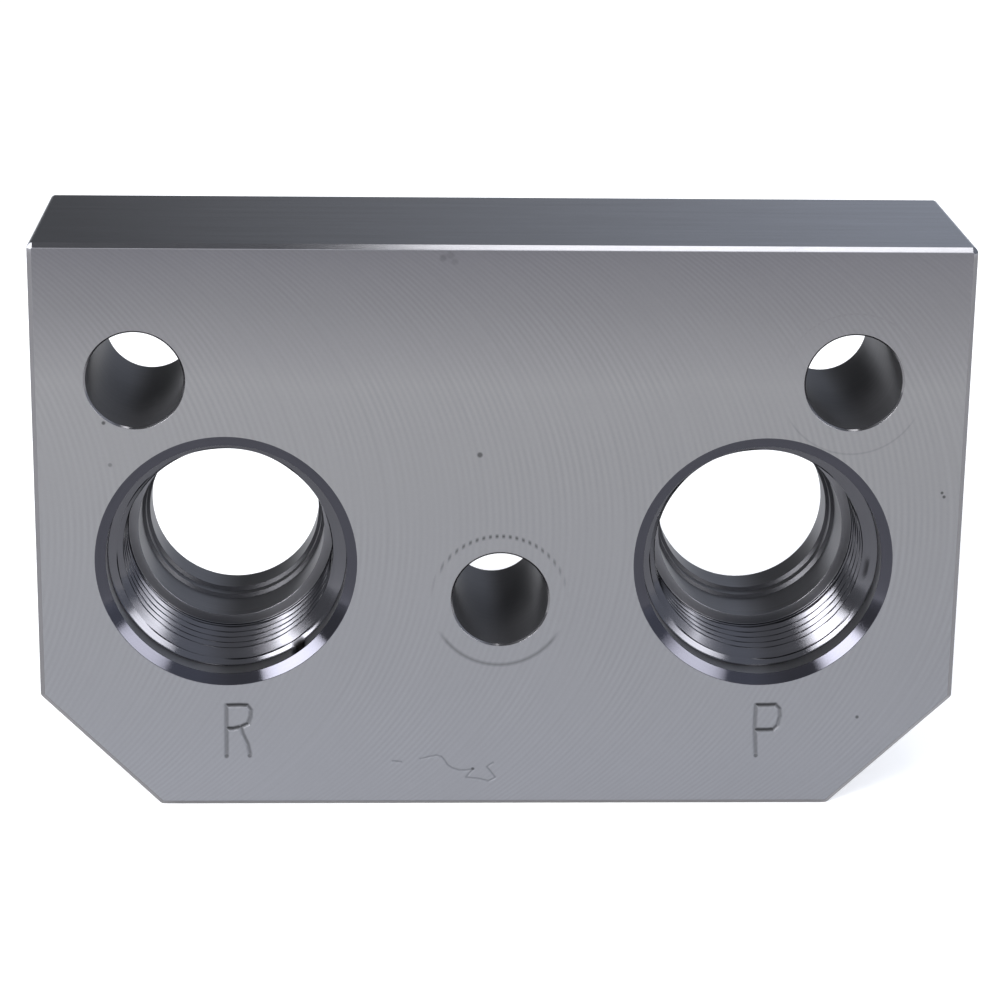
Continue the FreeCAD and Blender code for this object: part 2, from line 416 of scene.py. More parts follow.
def hole_rings(size, name, front, back):
    """A bolt hole: worked face, bevel, wall, bevel, seating face."""
    centre, radius = place(name)
    broken = size["hole_break"]
    rim = radius + broken + size["edge_softness"]
    section, facing = eased([
        (rim, front), (radius + broken, front), (radius, front + broken),
        (radius, back - broken), (radius + broken, back), (rim, back)], size["edge_softness"])
    return turned(section, facing, centre, HOLE_COLUMNS)


def port_sections(size, crest, passage, front, back):
    """A port's section before and behind its thread, and the depths where that begins and ends."""
    softness = size["edge_softness"]
    mouth, recess = size["mouth_radius"], size["recess_radius"]
    bore, neck = size["bore_radius"], size["neck_radius"]
    bevel = size["passage_bevel"]
    mouth_end = front + (mouth - recess) / LEAD
    begin = mouth_end + softness
    shoulder = front + size["shoulder_depth"]
    end = shoulder - 2 * softness
    before = eased([
        (mouth + softness, front), (mouth, front), (recess, mouth_end), (recess, begin)], softness)
    behind = eased([
        (crest, end), (crest, shoulder), (bore, shoulder), (bore, front + size["bore_depth"]),
        (neck, front + size["bore_depth"] + bore - neck), (neck, front + size["neck_depth"]),
        (passage, front + size["neck_depth"] + neck - passage), (passage, back - bevel),
        (passage + bevel, back), (passage + bevel + softness, back)], softness)
    return before, behind, begin, end


def thread_rings(size, name, crest, begin, end, front):
    """The recess, the lead-in and the thread, down to the shoulder behind it.

    The radius is the larger of the wall's and the thread's. The wall is the recess, a
    lead-in as wide as the mouth's bevel, and the crests. The thread's groove follows a
    right-hand helix: (depth + pitch * angle / one turn), wrapped to half a pitch either
    way, is the distance along the axis from its middle. From a narrow root to a narrow
    crest the radius falls along straight flanks that include 55 degrees, with their ends
    eased by an average over a short window. The groove dies out over the last bit of a
    turn. A nick is a flat-topped bell in angle and depth that is added to the radius and
    fades out at the mouth.
    """
    centre, _ = place(name)
    pitch = size["thread_pitch"]
    recess, root = size["recess_radius"], size["thread_root"]
    inner = front + size["recess_depth"]
    last = front + size["tapped_depth"]
    half, land = pitch / 2, pitch * THREAD_LAND
    ease = 0.05

    def area(share):
        """What a ramp from 0 to 1 adds up to, from its start to a share of it."""
        return np.where(share < 1, np.clip(share, 0, 1) ** 2 / 2, share - 0.5)

    def wall(depth, angle):
        """Radius and marks at a depth and an angle."""
        radius = np.clip(recess - (depth - inner) * LEAD, crest, recess)
        along = np.mod(depth + pitch * angle / (2 * math.pi), pitch) - half
        share = (half - land - np.abs(along)) / (half - 2 * land)
        rise = (area(share + ease) - area(share - ease)) / (2 * ease)
        fade = np.clip((last - depth) / (THREAD_FADE * pitch), 0, 1)
        groove = crest + (root - crest) * rise * fade
        radius = np.maximum(radius, np.where(depth < last, groove, 0))
        marks = 0 * radius
        for port, degrees, into, along_wall, inwards, how_deep in NICKS:
            if port == name:
                turn = np.mod(angle - math.radians(degrees) + math.pi, 2 * math.pi) - math.pi
                off = (turn * crest / along_wall) ** 4 + ((depth - front - into) / inwards) ** 4
                bell = np.exp(-off) * np.clip((depth - begin) / NICK_FADE, 0, 1)
                radius = radius + how_deep * bell
                marks = np.maximum(marks, np.clip(bell * how_deep / BLACK_DEPTH, 0, 1))
        return radius, marks

    start = inner - THREAD_STEP
    depth = np.concatenate([
        np.linspace(begin, start, RECESS_ROWS, endpoint=False),
        np.linspace(start, end, int(round((end - start) / THREAD_STEP)) + 1)])[:, None]
    angle, cos, sin = circle(PORT_COLUMNS)
    radius, marks = wall(depth, angle)
    # Slopes are measured over a short way to both sides of a point
    nudge = 0.02
    down = (wall(depth + nudge, angle)[0] - wall(depth - nudge, angle)[0]) / (2 * nudge)
    round_ = (wall(depth, angle + nudge / crest)[0] - wall(depth, angle - nudge / crest)[0])
    round_ = round_ * crest / (2 * nudge) / radius
    grid = np.stack([centre[0] + radius * cos, depth + 0 * cos, centre[1] + radius * sin], -1)
    normals = np.stack([-cos - round_ * sin, down, -sin + round_ * cos], -1)
    return grid, normals, marks


# Strokes of the engraved letters, which mark the return and the pressure port, as
# places across the worked face in millimetres; a stroke bends at its points.
LETTER_R = (
    ((-31.6, 12.45), (-31.66, 6.3)),
    ((-31.6, 12.45), (-30.0, 12.5), (-29.2, 12.45), (-28.82, 11.9), (-28.82, 11.0),
     (-29.1, 10.2), (-29.9, 9.8), (-30.8, 9.58), (-31.6, 9.6)),
    ((-30.0, 9.8), (-29.75, 8.9), (-29.2, 7.6), (-28.95, 6.4)),
)
LETTER_P = (
    ((30.03, 12.45), (29.98, 9.8), (30.22, 6.35)),
    ((30.03, 12.45), (31.3, 12.45), (32.3, 12.5), (32.8, 11.95), (32.9, 11.0),
     (32.65, 9.9), (32.2, 9.4), (31.4, 9.35), (30.1, 9.35)),
)
# A fine scratch near the foot
SCRATCH = (
    ((-9.1, 5.75), (-8.0, 6.02), (-7.2, 6.2), (-6.6, 6.03), (-6.2, 5.5), (-5.9, 5.0), (-5.4, 4.63),
     (-4.5, 4.32), (-3.75, 4.32), (-2.85, 4.48), (-3.35, 3.9), (-3.75, 3.42), (-2.1, 3.25),
     (-1.1, 2.95), (-0.27, 3.4), (-0.83, 4.13), (-1.3, 4.75), (-0.55, 5.3)),
    ((-12.3, 5.5), (-11.3, 5.4)),
)


def stroke_patch(strokes, width, depth, dark, upright, step, front, margin=0.5):
    """A flat rectangle of the worked face with grooves along some strokes.

    A point's depth is the groove's times half of (1 + cos(pi * distance / half width)),
    where the distance is to the nearest straight piece of any stroke, and 0 beyond the
    half width. The normal follows the depth's slope. The groove is painted darker, most
    along the middle of a level piece, and upright gives the share of that which an upright
    piece holds; in the letters this darkness is painted shade.
    """
    runs = np.array([pair for stroke in strokes for pair in zip(stroke, stroke[1:])])
    low = runs.reshape(-1, 2).min(0) - width / 2 - margin
    high = runs.reshape(-1, 2).max(0) + width / 2 + margin
    shape = np.ceil((high - low) / step).astype(int) + 1
    across, up = (np.linspace(low[i], high[i], shape[i]) for i in (0, 1))
    spots = np.stack(np.meshgrid(across, up), -1)
    start, way = runs[:, 0], runs[:, 1] - runs[:, 0]
    away = spots[:, :, None] - start
    share = np.clip((away * way).sum(-1) / (way * way).sum(-1), 0, 1)
    distance = np.linalg.norm(away - share[..., None] * way, axis=-1)
    cut = 0.5 * (1 + np.cos(math.pi * np.clip(distance.min(-1) / (width / 2), 0, 1)))
    cut[[0, -1]] = 0
    cut[:, [0, -1]] = 0
    level = np.abs(way[:, 0]) / np.linalg.norm(way, axis=1)
    level = upright + (1 - upright) * level ** 2
    marks = np.sqrt(cut) * dark * level[distance.argmin(-1)]
    slope_up, slope_across = np.gradient(cut * depth, up, across)
    points = np.stack([spots[..., 0], front + cut * depth, spots[..., 1]], -1)
    normals = np.stack([slope_across, -np.ones_like(cut), slope_up], -1)
    return points, normals, marks


def rim_of(grid):
    """The points round the edge of a grid, in order."""
    return np.vstack([grid[0], grid[1:, -1], grid[-1, -2::-1], grid[-2:0:-1, 0]])


def flat_face(skin, depth, facing, outer, inner, slot):
    """A flat face between an outer loop and the loops of its holes and patches.

    The triangles are the constrained Delaunay ones. One that has all its corners on the
    same inner loop fills that hole, so it is left out.
    """
    loops = [outer] + inner
    spots = np.vstack([loop[:, [0, 2]] for loop in loops])
    labels = np.concatenate([np.full(len(loop), i) for i, loop in enumerate(loops)])
    edges, start = [], 0
    for loop in loops:
        index = np.arange(len(loop)) + start
        edges.append(np.stack([index, np.roll(index, -1)], 1))
        start += len(loop)
    # The outline is convex, so the triangles of its convex hull are the whole face
    convex_hull, join_within = 0, 1e-5
    found = delaunay_2d_cdt(
        [Vector(spot) for spot in spots], np.vstack(edges).tolist(), [], convex_hull, join_within)
    source = np.array([ids[0] for ids in found[3]])
    faces = source[np.array(found[2])]
    kinds = labels[faces]
    filled = (kinds[:, 0] > 0) & (kinds == kinds[:, :1]).all(1)
    points = np.stack([spots[:, 0], np.full(len(spots), depth), spots[:, 1]], -1)
    normals = np.tile([0.0, facing, 0.0], (len(points), 1))
    skin.add(points, normals, faces[~filled], slot)


def block_mesh(size, lowest, highest):
    """The whole skin of the block, closed."""
    skin = Skin()
    front, back = lowest[1], highest[1]
    outline, normals, side_ends = outline_rings(size, lowest, highest)
    skin.add_rings(outline, normals, (EDGE, GROUND, EDGE), side_ends)

    front_loops, back_loops = [], []
    for name in BOLT_HOLES:
        grid, normals = hole_rings(size, name, front, back)
        half = len(grid) // 2
        skin.add_rings(grid, normals, (EDGE, DRILLED, EDGE), (half - 1, half))
        front_loops.append(grid[0])
        back_loops.append(grid[-1])

    for port, behind_port in PORTS:
        centre, crest = place(port)
        _, passage = place(behind_port)
        before, behind, begin, end = port_sections(size, crest, passage, front, back)
        grid, normals = turned(*before, centre, PORT_COLUMNS)
        skin.add_rings(grid, normals, (COUNTERSUNK, RECESSED), (len(grid) - 2,))
        front_loops.append(grid[0])
        grid, normals, marks = thread_rings(size, port, crest, begin, end, front)
        skin.add_rings(grid, normals, (RECESSED, TURNED), (RECESS_ROWS,), marks)
        grid, normals = turned(*behind, centre, PORT_COLUMNS)
        skin.add_rings(grid, normals, (BORED,))
        back_loops.append(grid[-1])

    # Width and depth of a stroke, how dark it is, the share of that which an upright piece
    # holds, and the grid's step
    # The letters' grooves are painted dark: painted shade, strongest in level strokes
    engraved = (size["letter_stroke"], size["letter_depth"], 0.85, 0.45, 0.09)
    scratched = (size["scratch_width"], size["scratch_width"] / 6, 0.33, 1.0, 0.1)
    for strokes, values in ((LETTER_R, engraved), (LETTER_P, engraved), (SCRATCH, scratched)):
        grid, normals, marks = stroke_patch(strokes, *values, front)
        skin.add_grid(grid, normals, MILLED, marks=marks)
        front_loops.append(rim_of(grid))
    flat_face(skin, front, -1.0, outline[0], front_loops, MILLED)
    flat_face(skin, back, 1.0, outline[-1], back_loops, SEAT)
    return skin.mesh(NODE + "_steel")


def add(tree, kind, inputs=None, **settings):
    """Add a node, with its settings, its values and the links from other nodes.

    A MapRange's sockets 1 to 4 are the limits of what comes in and of what goes out.
    """
    node = tree.nodes.new("ShaderNode" + kind)
    for name, value in settings.items():
        setattr(node, name, value)
    for name, value in (inputs or {}).items():
        source = value.outputs[0] if isinstance(value, bpy.types.Node) else value
        if isinstance(source, bpy.types.NodeSocket):
            tree.links.new(source, node.inputs[name])
        else:
            node.inputs[name].default_value = source
    return node


def new_material(name):
    """An empty material and its nodes."""
    material = bpy.data.materials.new(name)
    material.use_nodes = True
    material.node_tree.nodes.clear()
    return material, material.node_tree


def in_millimetres(tree):
    """Where a point of the block lies, in millimetres, whole and as x, y and z."""
    where = add(tree, "TexCoord").outputs["Object"]
    scaled = add(tree, "VectorMath", {0: where, "Scale": 1 / MM}, operation="SCALE")
    return scaled, add(tree, "SeparateXYZ", {0: scaled})


def total(tree, base, parts):
    """base plus each part times its weight."""
    for part, weight in parts:
        base = add(tree, "Math", {0: part, 1: weight, 2: base}, operation="MULTIPLY_ADD")
    return base


def shaded(tree, base, height, stops):
    """A colour times a tint that runs up the block, one stop for each height given."""
    share = add(tree, "Math", {0: height, 1: CAD_BOX[1][2] / MM}, operation="DIVIDE")
    ramp = add(tree, "ValToRGB", {0: share})
    elements = ramp.color_ramp.elements
    while len(elements) < len(stops):
        elements.new(1.0)
    for element, (level, tint) in zip(elements, stops):
        element.position = level * MM / CAD_BOX[1][2]
        element.color = (*tint, 1)
    return add(tree, "VectorMath", {0: ramp, 1: base}, operation="MULTIPLY")


def finish_steel(tree, looks, base, factor, roughness, anisotropic, tangent, height, depth_mm,
                 marks=None, glance=1.0):
    """Bare steel: its colour times a factor, with fine relief; dirt and painted shade darken and dull
    it.

    Glance is how bright it gets when it is seen along its surface; rough walls stay darker.
    """
    shade = add(tree, "VectorMath", {0: base, "Scale": factor}, operation="SCALE")
    if marks is not None:
        grime_and_shade = (*looks.grime_and_shade, 1)
        shade = add(tree, "Mix", {0: marks, 6: shade, 7: grime_and_shade}, data_type="RGBA").outputs[2]
        ends = {1: 0.0, 2: 1.0, 3: roughness, 4: GRIME_ROUGHNESS}
        roughness = add(tree, "MapRange", {0: marks, **ends})
    relief = add(tree, "Bump", {"Strength": 1.0, "Distance": depth_mm * MM, "Height": height})
    steel = add(tree, "BsdfPrincipled", {
        "Base Color": shade, "Metallic": 1.0, "Roughness": roughness,
        "Anisotropic": anisotropic, "Tangent": tangent, "Normal": relief,
        "Specular Tint": (glance, glance, glance, 1.0)})
    add(tree, "OutputMaterial", {"Surface": steel})


# Painted reflection and shade on the worked face: how it tints the steel at some heights
# in millimetres, from the foot up, with a cool painted reflection low down and painted shade
# that darkens it towards the top. Its limits wander by up to half the waver
PAINTED_FACE_SHADE = (
    (6.0, (1.0, 1.02, 1.05)), (40.0, (0.98, 0.98, 0.96)), (51.0, (0.96, 0.955, 0.93)),
    (55.0, (0.84, 0.83, 0.82)), (60.0, (0.7, 0.69, 0.69)), (67.0, (0.56, 0.55, 0.57)),
)
PAINTED_SHADE_WAVER = 3.0
# Painted light and shade on the narrow bevels: darker near the foot and down the sides,
# and a painted highlight that brightens the top edges
PAINTED_EDGE_LIGHT_AND_SHADE = (
    (0.0, (0.46, 0.45, 0.44)), (0.9, (0.6, 0.59, 0.58)), (65.8, (0.62, 0.61, 0.6)),
    (66.6, (1.0, 1.0, 1.0)),
)
# Specks and faint stains on the worked face, and dark spots at the lower ends of the
# engraved strokes: place and radius in millimetres, and how dark each is
SPECKS = (
    (-44.94, 46.43, 0.28, 0.65), (-44.33, 41.5, 0.3, 0.35), (-2.55, 42.8, 0.4, 0.6),
    (50.41, 38.41, 0.22, 0.65), (50.67, 37.93, 0.24, 0.65), (41.97, 10.96, 0.26, 0.6),
    (-6.9, 65.6, 0.5, 0.2), (-6.1, 65.9, 0.6, 0.14), (-5.6, 65.2, 0.5, 0.12),
    (-31.65, 6.15, 0.34, 0.65), (-28.96, 6.2, 0.33, 0.65), (30.24, 6.15, 0.33, 0.65),
    (-2.95, 4.5, 0.26, 0.65),
)
# Rings that screw heads have pressed round bolt holes: hole, radius and half width in
# millimetres, and how dark the ring is above and below the hole
WITNESS_RINGS = (
    ("lower_bolt", 7.8, 0.34, 0.7, 0.4),
    ("upper_right_bolt", 8.2, 0.16, 0.12, 0.16),
)
# How far those screws sat from the middle of their holes, across and up
SCREW_SHIFT = (-0.1, -0.2)
# Height in millimetres at which the face mill's centre ran along the block
CUTTER_HEIGHT = 33.5
# How much a streaked finish varies from one patch of some millimetres to the next
CLOUDING = 0.16
GRIME_ROUGHNESS = 0.7


def milled_steel(looks, name, worked):
    """Free-cutting steel, face-milled: dull, with fine arcs a cutter's width across.

    The arcs of one pass lie side by side along the block, so each is where x less the
    cutter's reach at that height, sqrt(radius^2 - height^2), is a whole number of feeds.
    """
    material, tree = new_material(name)
    where, xyz = in_millimetres(tree)
    radius, feed = looks.cutter_radius / MM, looks.cutter_feed / MM
    height = add(tree, "Math", {0: xyz.outputs[2], 1: CUTTER_HEIGHT}, operation="SUBTRACT")
    square = add(tree, "Math", {0: height, 1: height}, operation="MULTIPLY")
    inside = add(tree, "Math", {0: radius ** 2, 1: square}, operation="SUBTRACT")
    reach = add(tree, "Math", {0: inside, 1: 0.5}, operation="POWER")
    along = add(tree, "Math", {0: xyz.outputs[0], 1: reach}, operation="SUBTRACT")
    turns = add(tree, "Math", {0: along, 1: 2 * math.pi / feed}, operation="MULTIPLY")
    wave = add(tree, "Math", {0: turns}, operation="SINE")
    patchy = add(tree, "TexNoise", {"Vector": where, "Scale": 0.12, "Detail": 2.0})
    strength = add(tree, "MapRange", {0: patchy, 1: 0.35, 2: 0.65, 3: 0.25, 4: 1.0})
    arcs = add(tree, "Math", {0: wave, 1: strength}, operation="MULTIPLY")
    uneven = add(tree, "TexNoise", {"W": along, "Scale": 1.1, "Detail": 3.0}, noise_dimensions="1D")
    grain = add(tree, "TexNoise", {"Vector": where, "Scale": 3.2, "Detail": 2.0})
    cloud = add(tree, "TexNoise", {"Vector": where, "Scale": 0.07, "Detail": 3.0})
    # What each adds to the colour's brightness and to the relief; x paints shade that darkens it to the
    # right
    factor = total(tree, 0.93, [
        (arcs, 0.045), (uneven, 0.07), (grain, 0.07), (cloud, 0.05), (xyz.outputs[0], -0.0006)])
    marks = None
    if worked:
        # The mesh brings the darkness of the scratch and the painted shade in the letters' grooves;
        # specks, stains and witness rings are added to it
        marks = add(tree, "Attribute", attribute_name="cut").outputs["Fac"]
        for x, z, size, dark in SPECKS:
            speck = (x, CAD_BOX[0][1] / MM, z)
            gap = add(tree, "VectorMath", {0: where, 1: speck}, operation="DISTANCE")
            gap = gap.outputs["Value"]
            spot = add(tree, "MapRange", {0: gap, 1: size / 2, 2: size, 3: dark, 4: 0.0})
            marks = add(tree, "Math", {0: marks, 1: spot}, operation="MAXIMUM")
        marks = witness_marks(tree, where, wave, marks)

    relief = total(tree, 0.0, [(arcs, 0.8), (uneven, 1.6), (grain, 1.0)])
    across = add(tree, "CombineXYZ", {0: reach, 1: 0.0, 2: height})
    # Painted reflection and shade by height; the seating face takes only the cool painted reflection of
    # the lowest stop
    uneven_height = total(
        tree, xyz.outputs[2], [(cloud, PAINTED_SHADE_WAVER), (-PAINTED_SHADE_WAVER / 2, 1.0)])
    base = shaded(tree, looks.milled, uneven_height, PAINTED_FACE_SHADE if worked else PAINTED_FACE_SHADE[:1])
    finish_steel(tree, looks, base, factor, looks.milled_roughness, 0.45, across, relief, 0.0022,
                 marks)
    return material


def witness_marks(tree, where, wave, marks):
    """Rings that screw heads have pressed into the worked face.

    Each is a band round a hole, at the head's radius and a little off the hole's centre.
    Where it crosses the milled arcs it only marks their crests, so its upper half is broken
    into short ticks, which are darkest at the top.
    """
    for name, radius, width, top, bottom in WITNESS_RINGS:
        (x, z), _ = place(name)
        middle = (x + SCREW_SHIFT[0], CAD_BOX[0][1] / MM, z + SCREW_SHIFT[1])
        away = add(tree, "VectorMath", {0: where, 1: middle}, operation="SUBTRACT")
        far = add(tree, "VectorMath", {0: away}, operation="LENGTH").outputs["Value"]
        off = add(tree, "Math", {0: far, 1: radius}, operation="SUBTRACT")
        off = add(tree, "Math", {0: off}, operation="ABSOLUTE")
        band = add(tree, "MapRange", {0: off, 1: 0.0, 2: width, 3: 1.0, 4: 0.0})
        side = add(tree, "SeparateXYZ", {0: away}).outputs[2]
        above = add(tree, "MapRange", {0: side, 1: 0.0, 2: radius, 3: 0.0, 4: 1.0})
        # The lower part is whole, and ends 5.0 to 3.5 mm below the middle
        below = add(tree, "MapRange", {0: side, 1: -5.0, 2: -3.5, 3: 1.0, 4: 0.0})
        ticks = add(tree, "MapRange", {0: wave, 1: -0.4, 2: 0.8, 3: 0.0, 4: top})
        ticks = add(tree, "Math", {0: ticks, 1: above}, operation="MULTIPLY")
        ring = add(tree, "Math", {0: below, 1: bottom, 2: ticks}, operation="MULTIPLY_ADD")
        ring = add(tree, "Math", {0: ring, 1: band}, operation="MULTIPLY")
        marks = add(tree, "Math", {0: marks, 1: ring}, operation="MAXIMUM")
    return marks


def round_ports(tree, where, xyz):
    """Distance from the nearer port's axis, and the way across the lines round it.

    The way across leads outwards and a little out of the block, so that on a round wall,
    a cone or a shoulder what lies along the surface is square to the turned lines.
    """
    (left, height), (right, _) = (place(port)[0] for port, _ in PORTS)
    nearer = add(tree, "Math", {0: xyz.outputs[0], 1: 0.0}, operation="LESS_THAN")
    axis = add(tree, "Math", {0: nearer, 1: left - right, 2: right}, operation="MULTIPLY_ADD")
    axis = add(tree, "CombineXYZ", {0: axis, 1: xyz.outputs[1], 2: height})
    away = add(tree, "VectorMath", {0: where, 1: axis}, operation="SUBTRACT")
    radius = add(tree, "VectorMath", {0: away}, operation="LENGTH").outputs["Value"]
    outwards = add(tree, "VectorMath", {0: away}, operation="NORMALIZE")
    return radius, add(tree, "VectorMath", {0: outwards, 1: (0.0, -0.5, 0.0)}, operation="ADD")


def streaked_steel(looks, name, base, roughness, anisotropic, streaks, weight, depth_mm,
                   glance=1.0, turned_lines=False, marked=False, painted_light_and_shade=()):
    """Steel with fine lines left by a wheel, a drill or a turning tool.

    The lines are noise that is stretched along them: streaks gives how often it changes
    per millimetre along x, y and z, weight how much it varies the colour, and depth_mm how
    deep it is. Turned lines run round a port's axis instead, so they change with the
    distance from it in place of x. The gloss is drawn out across them. Painted light and
    shade can tint the steel at some heights, and a marked surface shows its nicks painted dark.
    """
    material, tree = new_material(name)
    where, xyz = in_millimetres(tree)
    across = add(tree, "CombineXYZ", {0: 0.0, 1: 1.0, 2: 0.0})
    spot = where
    if turned_lines:
        radius, across = round_ports(tree, where, xyz)
        spot = add(tree, "CombineXYZ", {0: radius, 1: xyz.outputs[1], 2: xyz.outputs[2]})
    stretched = add(tree, "VectorMath", {0: spot, 1: streaks}, operation="MULTIPLY")
    lines = add(tree, "TexNoise", {"Vector": stretched, "Scale": 1.0, "Detail": 4.0, "Roughness": 0.6})
    cloud = add(tree, "TexNoise", {"Vector": where, "Scale": 0.16, "Detail": 3.0})
    factor = total(tree, 1.0 - (weight + CLOUDING) / 2, [(lines, weight), (cloud, CLOUDING)])
    if painted_light_and_shade:
        base = shaded(tree, base, xyz.outputs[2], painted_light_and_shade)
    marks = add(tree, "Attribute", attribute_name="cut").outputs["Fac"] if marked else None
    finish_steel(tree, looks, base, factor, roughness, anisotropic, across, lines, depth_mm,
                 marks, glance)
    return material


def object_from(mesh, name):
    """Link a new object that shows the mesh."""
    piece = bpy.data.objects.new(name, mesh)
    bpy.context.scene.collection.objects.link(piece)
    return piece


class PORTBLOCK_OT_add_block(bpy.types.Operator):
    """Build the block's skin and give each of its surfaces its own finish"""

    bl_idname = "portblock.add_block"
    bl_label = "Add block"

    def execute(self, context):
        size = millimetres(context.scene.portblock_sizes)
        looks = context.scene.portblock_finish
        lowest, highest = (np.array(corner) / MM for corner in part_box(NODE))
        piece = object_from(block_mesh(size, lowest, highest), NODE + "_steel")
        # In the order of the numbers from MILLED to SEAT
        for material in (
            # Face-milled: dull and even, with fine arcs a cutter's width across, and painted
            # reflection and shade by height
            milled_steel(looks, "face_milled_steel_painted_shade", True),
            # Surface-ground: smoother, with lines along the block that draw out its gloss
            streaked_steel(looks, "ground_steel", looks.ground, looks.ground_roughness, 0.6,
                           (0.04, 0.7, 0.7), 0.6, 0.003),
            # Turned by a threading tool: glossy and dark, with a bright patch on each groove;
            # the dark colour is painted shade
            streaked_steel(looks, "turned_steel_painted_shade", looks.turned, looks.turned_roughness, 0.8,
                           (3.0, 3.0, 0.03), 0.25, 0.001, turned_lines=True, marked=True),
            # Turned by a boring bar: lighter and softer than the threads, with fine rings; its
            # colour is painted lighter than the same finish in the bores, as painted light
            streaked_steel(looks, "recessed_steel_painted_light", looks.recessed, looks.bored_roughness, 0.8,
                           (2.0, 2.0, 0.05), 0.4, 0.002, turned_lines=True, marked=True),
            # Bored deep inside: the same rings, darker where they are seen along the wall
            streaked_steel(looks, "bored_steel", looks.bored, looks.bored_roughness, 0.8,
                           (2.0, 2.0, 0.05), 0.4, 0.002, glance=0.7, turned_lines=True),
            # Drilled and left so: as dull as the milled face, with rings from the drill's feed
            streaked_steel(looks, "drilled_steel", looks.drilled, looks.milled_roughness, 0.6,
                           (0.05, 2.5, 0.05), 0.4, 0.002, glance=0.7),
            # Countersunk with a form tool: the smoothest surface, which mirrors the room; its very
            # dark colour is painted shade that darkens those reflections
            streaked_steel(looks, "countersunk_steel_painted_shade", looks.countersunk, looks.bevel_roughness, 0.9,
                           (4.0, 4.0, 0.1), 0.15, 0.0006, turned_lines=True),
            # Deburred with a chamfer cutter: a narrow shiny line round the block and its holes,
            # painted darker low down and with a painted highlight along the top edges
            streaked_steel(looks, "deburred_steel_painted_light_and_shade", looks.edge, looks.bevel_roughness, 0.5,
                           (0.6, 5.0, 0.6), 0.2, 0.001, painted_light_and_shade=PAINTED_EDGE_LIGHT_AND_SHADE),
            # The seating face is face-milled too, and clean
            milled_steel(looks, "seating_face_steel", False),
        ):
            piece.data.materials.append(material)
        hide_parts(NODE)
        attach(piece, "root")
        return {"FINISHED"}


# Where the softboxes point, in metres
BLOCK_MIDDLE = (0.0, 0.0, 0.033)
# Half the length and thickness of the shadow under the foot, and its soft edge, in millimetres
FOOT_SHADOW = (37.5, 12.5, 0.0)
FOOT_SHADOW_EDGE = 2.0
# The camera's place in millimetres, its yaw, pitch and roll in degrees, its lens and sensor
CAMERA_PLACE = (-14.2428, -344.0041, 140.2193)
CAMERA_TURNS = (2.4316, 17.2567, -0.8373)
CAMERA_LENS, CAMERA_SENSOR = 109.513, 36.0


def softbox(name, direction, distance, width, height, brightness):
    """An evenly lit rectangle that faces the block from a direction and a distance."""
    way = Vector(direction).normalized()
    data = bpy.data.lights.new(name, "AREA")
    data.shape = "RECTANGLE"
    data.size, data.size_y = width, height
    data.energy = brightness * math.pi * width * height
    lamp = bpy.data.objects.new(name, data)
    lamp.location = Vector(BLOCK_MIDDLE) + way * distance
    lamp.rotation_mode = "QUATERNION"
    lamp.rotation_quaternion = way.to_track_quat("Z", "Y")
    lamp.visible_camera = False
    bpy.context.scene.collection.objects.link(lamp)


def towards(azimuth, elevation):
    """A direction: azimuth in degrees from the front towards the right, and elevation."""
    a, e = math.radians(azimuth), math.radians(elevation)
    return (math.sin(a) * math.cos(e), -math.cos(a) * math.cos(e), math.sin(e))


def pale_floor(studio):
    """Matt white paper: even and dull, with a glow that brings it up to white.

    It doesn't glow under the block, where the foot's edges show it in shadow.
    """
    material, tree = new_material("matt_white_paper")
    where, _ = in_millimetres(tree)
    off = add(tree, "VectorMath", {0: where}, operation="ABSOLUTE")
    off = add(tree, "VectorMath", {0: off, 1: FOOT_SHADOW}, operation="SUBTRACT")
    off = add(tree, "VectorMath", {0: off, 1: (0.0, 0.0, 0.0)}, operation="MAXIMUM")
    off = add(tree, "VectorMath", {0: off}, operation="LENGTH").outputs["Value"]
    clear = add(tree, "MapRange", {0: off, 1: 0.0, 2: FOOT_SHADOW_EDGE, 3: 0.0, 4: studio.floor_glow})
    rays = add(tree, "LightPath").outputs
    seen = add(tree, "Math", {0: rays["Is Camera Ray"], 1: rays["Is Glossy Ray"]}, operation="ADD")
    seen = add(tree, "Math", {0: seen, 1: rays["Is Transmission Ray"]}, operation="ADD", use_clamp=True)
    glow = add(tree, "Math", {0: seen, 1: clear}, operation="MULTIPLY")
    paper = add(tree, "BsdfDiffuse", {"Color": (*studio.floor, 1)})
    light = add(tree, "Emission", {"Color": (1, 1, 1, 1), "Strength": glow})
    both = add(tree, "AddShader", {0: paper, 1: light})
    add(tree, "OutputMaterial", {"Surface": both})
    return material


